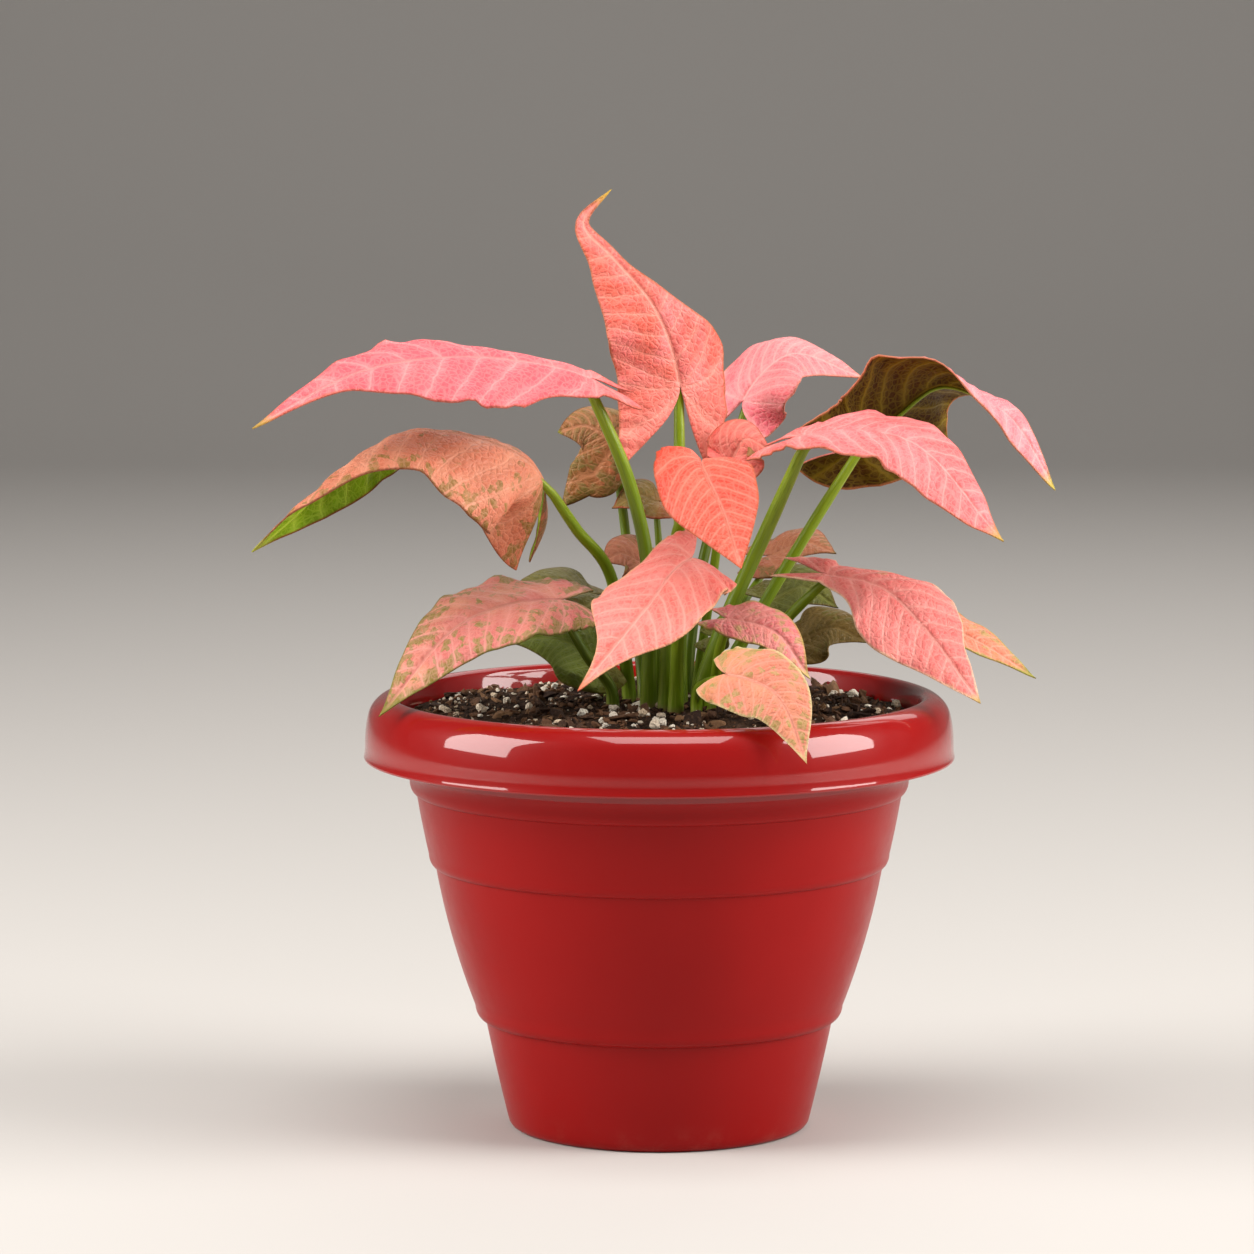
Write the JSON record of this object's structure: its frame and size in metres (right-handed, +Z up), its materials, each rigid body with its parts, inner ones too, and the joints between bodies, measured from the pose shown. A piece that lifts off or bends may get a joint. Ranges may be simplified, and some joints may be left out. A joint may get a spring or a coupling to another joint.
{
  "type": "potted syngonium",
  "caption": "Pink arrowhead vine (syngonium) with long green leaf stalks in bark and perlite mix, in a round-rimmed, stepped red nursery pot.",
  "frame": {"origin": "centre of the pot's flat foot, on the surface it stands on", "axes": "+Z up; -Y towards the viewer; +X to the viewer's right"},
  "size_m": [0.2325, 0.1739, 0.274],
  "materials": {
    "pot_red": "smooth satin-gloss moulded red plastic",
    "potting_mix": "dark brown bark and peat with white perlite",
    "stalk_green": "smooth fresh yellow-green",
    "leaf_pink": "satin salmon pink with paler veins",
    "leaf_coral": "satin coral pink",
    "leaf_dusky": "satin dusky salmon with olive mottling",
    "leaf_mottled": "pink centre with olive mottled margins",
    "leaf_cream": "cream and tan with pink midrib and olive flecks",
    "leaf_green": "shaded olive and leaf green"
  },
  "bodies": {
    "root": {"blade_back_left": "leaf_dusky", "blade_back_right": "leaf_pink", "blade_centre": "leaf_coral", "blade_centre_back": "leaf_dusky", "blade_far_right": "leaf_pink", "blade_front": "leaf_pink", "blade_front_right": "leaf_cream", "blade_green_left": "leaf_green", "blade_lower_left": "leaf_mottled", "blade_lower_right": "leaf_pink", "blade_mid_left": "leaf_dusky", "blade_right": "leaf_pink", "blade_shaded_centre": "leaf_green", "blade_shaded_centre_left": "leaf_dusky", "blade_shaded_left": "leaf_green", "blade_shaded_right_high": "leaf_dusky", "blade_shaded_right_low": "leaf_green", "blade_shaded_right_mid": "leaf_green", "blade_small_green": "leaf_green", "blade_small_right": "leaf_pink", "blade_top": "leaf_coral", "blade_upper_left": "leaf_pink", "blade_upper_right": "leaf_pink", "pot": "pot_red", "potting_mix": "potting_mix", "stalk_back_left": "stalk_green", "stalk_back_right": "stalk_green", "stalk_centre": "stalk_green", "stalk_centre_back": "stalk_green", "stalk_far_right": "stalk_green", "stalk_front": "stalk_green", "stalk_front_right": "stalk_green", "stalk_green_left": "stalk_green", "stalk_lower_left": "stalk_green", "stalk_lower_right": "stalk_green", "stalk_mid_left": "stalk_green", "stalk_right": "stalk_green", "stalk_shaded_centre": "stalk_green", "stalk_shaded_centre_left": "stalk_green", "stalk_shaded_left": "stalk_green", "stalk_shaded_right_high": "stalk_green", "stalk_shaded_right_low": "stalk_green", "stalk_shaded_right_mid": "stalk_green", "stalk_small_green": "stalk_green", "stalk_small_right": "stalk_green", "stalk_top": "stalk_green", "stalk_upper_left": "stalk_green", "stalk_upper_right": "stalk_green"}
  },
  "joints": []
}
